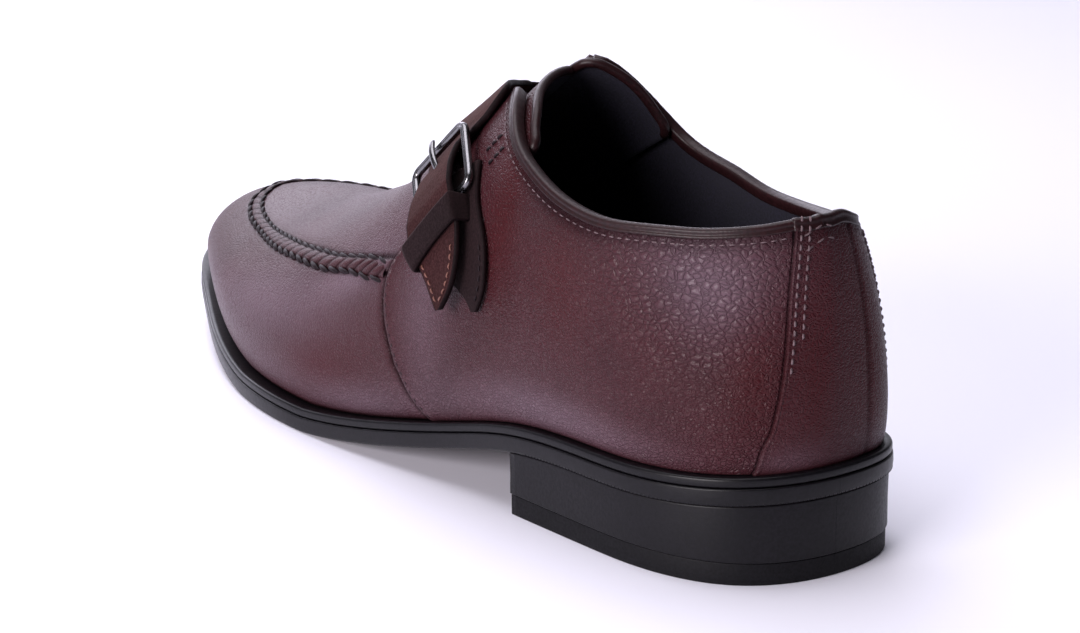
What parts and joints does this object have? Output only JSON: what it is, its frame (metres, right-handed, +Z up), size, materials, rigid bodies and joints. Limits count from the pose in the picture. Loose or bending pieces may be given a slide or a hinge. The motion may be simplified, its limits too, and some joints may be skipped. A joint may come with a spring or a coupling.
{
  "type": "monk strap shoe",
  "caption": "Low monk strap shoe for the left foot with an apron toe, a buckled strap, a welted sole and a block heel.",
  "frame": {"origin": "on the floor under the middle of the heel, in the heel top lift's bottom face", "axes": "+Y from heel to toe, +Z up, -X towards the outer (buckle) side of the foot"},
  "size_m": [0.106, 0.3048, 0.1095],
  "materials": {
    "burgundy_grain_leather": "semi-gloss grained leather",
    "black_sole_leather": "black waxed edge",
    "black_rubber": "matt black",
    "lining_leather": "dark, matt",
    "binding_leather": "satin brown",
    "brown_suede": "matt nap",
    "gunmetal": "satin gunmetal"
  },
  "bodies": {
    "root": {"outsole": "black_sole_leather", "heel_top_lift": "black_rubber", "heel_stack": "black_sole_leather", "welt": "black_sole_leather", "insole": "lining_leather", "upper": "burgundy_grain_leather", "collar_binding": "binding_leather", "tongue": "burgundy_grain_leather", "strap": "brown_suede", "buckle_tab": "brown_suede", "strap_keeper": "brown_suede", "buckle_frame": "gunmetal", "buckle_prong": "gunmetal"}
  },
  "joints": []
}
